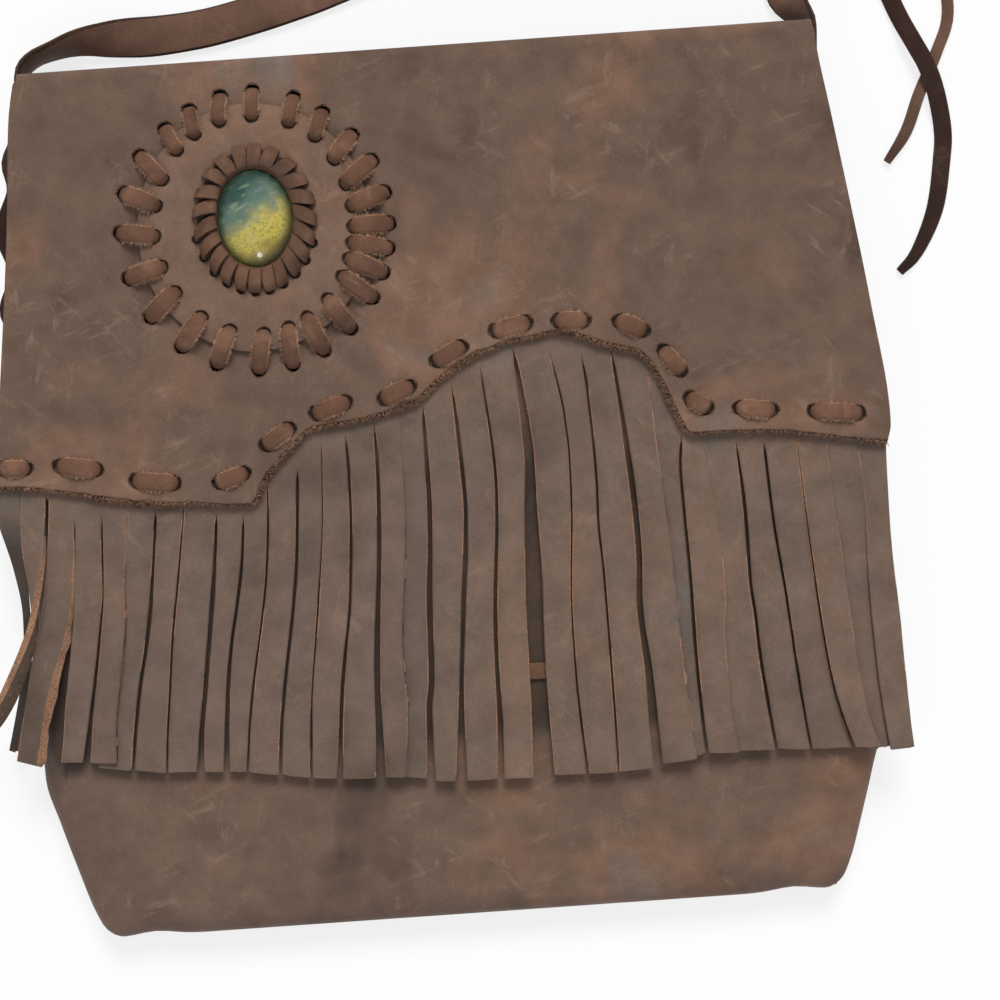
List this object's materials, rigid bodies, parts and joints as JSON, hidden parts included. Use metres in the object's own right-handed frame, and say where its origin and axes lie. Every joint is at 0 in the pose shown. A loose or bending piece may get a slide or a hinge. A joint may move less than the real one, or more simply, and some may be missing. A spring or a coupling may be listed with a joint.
{
  "type": "bag",
  "caption": "Fold-over leather shoulder bag with a waved flap, a long cut fringe and a laced oval disc that holds a domed stone",
  "frame": {"origin": "Middle of the back panel's outer face, which lies on the floor", "axes": "X across the bag, +Y towards the folded top edge, +Z out of the front"},
  "size_m": [0.3712, 0.423, 0.037],
  "materials": {
    "bag_leather": "oiled, with pale scuffs and raw cut edges",
    "fringe_leather": "oiled, with raw cut edges",
    "lace": "matt, with raw fuzzy edges",
    "tie_lace": "matt dark lace",
    "strap_leather": "oiled, with raw cut edges",
    "stone": "polished, banded green and yellow"
  },
  "bodies": {
    "bag": {"back_panel": "bag_leather", "front_panel": "bag_leather", "gusset": "bag_leather", "closure_thong": "lace", "strap": "strap_leather", "lashing_left_1": "lace", "lashing_left_2": "lace", "lashing_right_1": "lace", "lashing_right_2": "lace", "tie_knot": "lace", "tie_lace_long": "tie_lace", "tie_lace_short": "tie_lace", "tie_lace_left": "tie_lace"},
    "flap": {"flap_panel": "bag_leather", "fringe": "fringe_leather", "edge_lacing": "lace", "medallion_disc": "bag_leather", "medallion_lacing": "lace", "cabochon": "stone", "cabochon_lacing": "lace"}
  },
  "joints": [
    {"name": "flap_hinge", "type": "hinge", "parent": "bag", "child": "flap", "pos_m": [0, 0.1611, 0.0265], "axis": [-1, 0, 0], "range_deg": [0, 170]}
  ]
}
